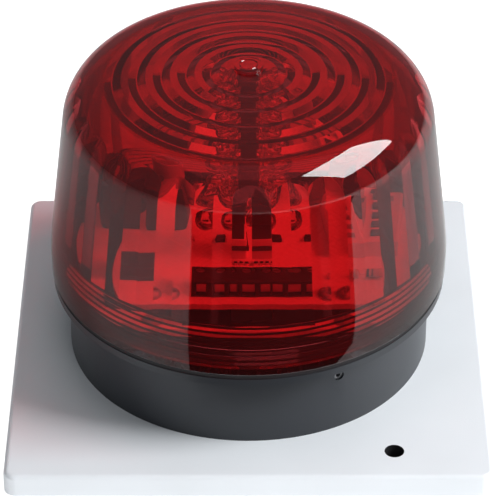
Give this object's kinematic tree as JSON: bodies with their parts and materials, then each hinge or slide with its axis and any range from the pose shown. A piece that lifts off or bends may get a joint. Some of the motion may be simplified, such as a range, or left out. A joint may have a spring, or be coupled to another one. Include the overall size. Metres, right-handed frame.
{
  "type": "alarm siren",
  "caption": "Square wall plate with a round black siren base under a ribbed red dome lens, an LED mast and a circuit board inside.",
  "frame": {"origin": "centre of the mounting plate's underside", "axes": "+Z out of the plate along the dome's axis; -Y is the front, where the lock screw is; +X to the right seen from the front"},
  "size_m": [0.12, 0.12, 0.0869],
  "materials": {
    "white_plastic": "satin",
    "black_plastic": "satin",
    "black_rubber": "matt",
    "red_lens": "gloss, clear",
    "clear_led": "gloss, clear",
    "steel": "zinc plated",
    "tin": "tin plated",
    "brass": "nickel plated",
    "white_board": "satin",
    "black_part": "matt",
    "dark_slider": "matt",
    "white_switch": "matt",
    "can_sleeve": "satin",
    "resistor_body": "matt",
    "sounder_plastic": "matt",
    "red_wire": "satin",
    "black_wire": "satin"
  },
  "bodies": {
    "siren_base": {"mounting_plate": "white_plastic", "base_housing": "black_plastic", "base_gasket": "black_rubber", "base_screws": "steel", "cable_grommet": "black_rubber", "lens_seal": "black_rubber", "main_board": "white_board", "board_pillars": "brass", "board_screws": "steel", "terminal_block": "black_part", "terminal_clamps": "tin", "tone_switch_body": "white_switch", "mast_foot": "white_switch", "mast_clip": "black_part", "diodes": "black_part", "led_mast": "black_part", "led_leads": "tin", "driver_coil": "black_part", "relay": "black_part", "capacitors": "can_sleeve", "surge_resistor": "resistor_body", "resistor_leads": "tin", "control_chip": "black_part", "chip_legs": "tin", "small_resistors": "black_part", "sounder_case": "sounder_plastic", "sounder_disc": "brass", "sounder_lead_red": "red_wire", "sounder_lead_black": "black_wire", "led_tier_1": "clear_led", "led_tier_2": "clear_led", "led_tier_3": "clear_led", "led_tier_4": "clear_led", "led_tier_5": "clear_led", "led_tier_6": "clear_led"},
    "lens_cover": {"lens": "red_lens"},
    "lock_screw_body": {"lock_screw": "steel"},
    "terminal_screw_1_body": {"terminal_screw_1": "steel"},
    "terminal_screw_2_body": {"terminal_screw_2": "steel"},
    "terminal_screw_3_body": {"terminal_screw_3": "steel"},
    "terminal_screw_4_body": {"terminal_screw_4": "steel"},
    "terminal_screw_5_body": {"terminal_screw_5": "steel"},
    "terminal_screw_6_body": {"terminal_screw_6": "steel"},
    "terminal_screw_7_body": {"terminal_screw_7": "steel"},
    "terminal_screw_8_body": {"terminal_screw_8": "steel"},
    "tone_slider_1_body": {"tone_slider_1": "dark_slider"},
    "tone_slider_2_body": {"tone_slider_2": "dark_slider"},
    "tone_slider_3_body": {"tone_slider_3": "dark_slider"},
    "tone_slider_4_body": {"tone_slider_4": "dark_slider"},
    "tone_slider_5_body": {"tone_slider_5": "dark_slider"}
  },
  "joints": [
    {"name": "lens_lift", "type": "slide", "parent": "siren_base", "child": "lens_cover", "axis": [0, 0, 1], "range_m": [0, 0.065]},
    {"name": "lock_screw_back_out", "type": "slide", "parent": "siren_base", "child": "lock_screw_body", "axis": [0.4848, -0.8746, 0], "range_m": [0, 0.004]},
    {"name": "terminal_screw_1_turn", "type": "hinge", "parent": "siren_base", "child": "terminal_screw_1_body", "pos_m": [-0.01333, -0.0143, 0.036], "axis": [0, 0, 1], "range_deg": [-360, 360]},
    {"name": "terminal_screw_2_turn", "type": "hinge", "parent": "siren_base", "child": "terminal_screw_2_body", "pos_m": [-0.00953, -0.0143, 0.036], "axis": [0, 0, 1], "range_deg": [-360, 360]},
    {"name": "terminal_screw_3_turn", "type": "hinge", "parent": "siren_base", "child": "terminal_screw_3_body", "pos_m": [-0.00571, -0.0143, 0.036], "axis": [0, 0, 1], "range_deg": [-360, 360]},
    {"name": "terminal_screw_4_turn", "type": "hinge", "parent": "siren_base", "child": "terminal_screw_4_body", "pos_m": [-0.00191, -0.0143, 0.036], "axis": [0, 0, 1], "range_deg": [-360, 360]},
    {"name": "terminal_screw_5_turn", "type": "hinge", "parent": "siren_base", "child": "terminal_screw_5_body", "pos_m": [0.00191, -0.0143, 0.036], "axis": [0, 0, 1], "range_deg": [-360, 360]},
    {"name": "terminal_screw_6_turn", "type": "hinge", "parent": "siren_base", "child": "terminal_screw_6_body", "pos_m": [0.00571, -0.0143, 0.036], "axis": [0, 0, 1], "range_deg": [-360, 360]},
    {"name": "terminal_screw_7_turn", "type": "hinge", "parent": "siren_base", "child": "terminal_screw_7_body", "pos_m": [0.00953, -0.0143, 0.036], "axis": [0, 0, 1], "range_deg": [-360, 360]},
    {"name": "terminal_screw_8_turn", "type": "hinge", "parent": "siren_base", "child": "terminal_screw_8_body", "pos_m": [0.01333, -0.0143, 0.036], "axis": [0, 0, 1], "range_deg": [-360, 360]},
    {"name": "tone_slider_1_slide", "type": "slide", "parent": "siren_base", "child": "tone_slider_1_body", "axis": [1, 0, 0], "range_m": [0, 0.0024]},
    {"name": "tone_slider_2_slide", "type": "slide", "parent": "siren_base", "child": "tone_slider_2_body", "axis": [1, 0, 0], "range_m": [0, 0.0024]},
    {"name": "tone_slider_3_slide", "type": "slide", "parent": "siren_base", "child": "tone_slider_3_body", "axis": [1, 0, 0], "range_m": [0, 0.0024]},
    {"name": "tone_slider_4_slide", "type": "slide", "parent": "siren_base", "child": "tone_slider_4_body", "axis": [1, 0, 0], "range_m": [0, 0.0024]},
    {"name": "tone_slider_5_slide", "type": "slide", "parent": "siren_base", "child": "tone_slider_5_body", "axis": [1, 0, 0], "range_m": [0, 0.0024]}
  ]
}
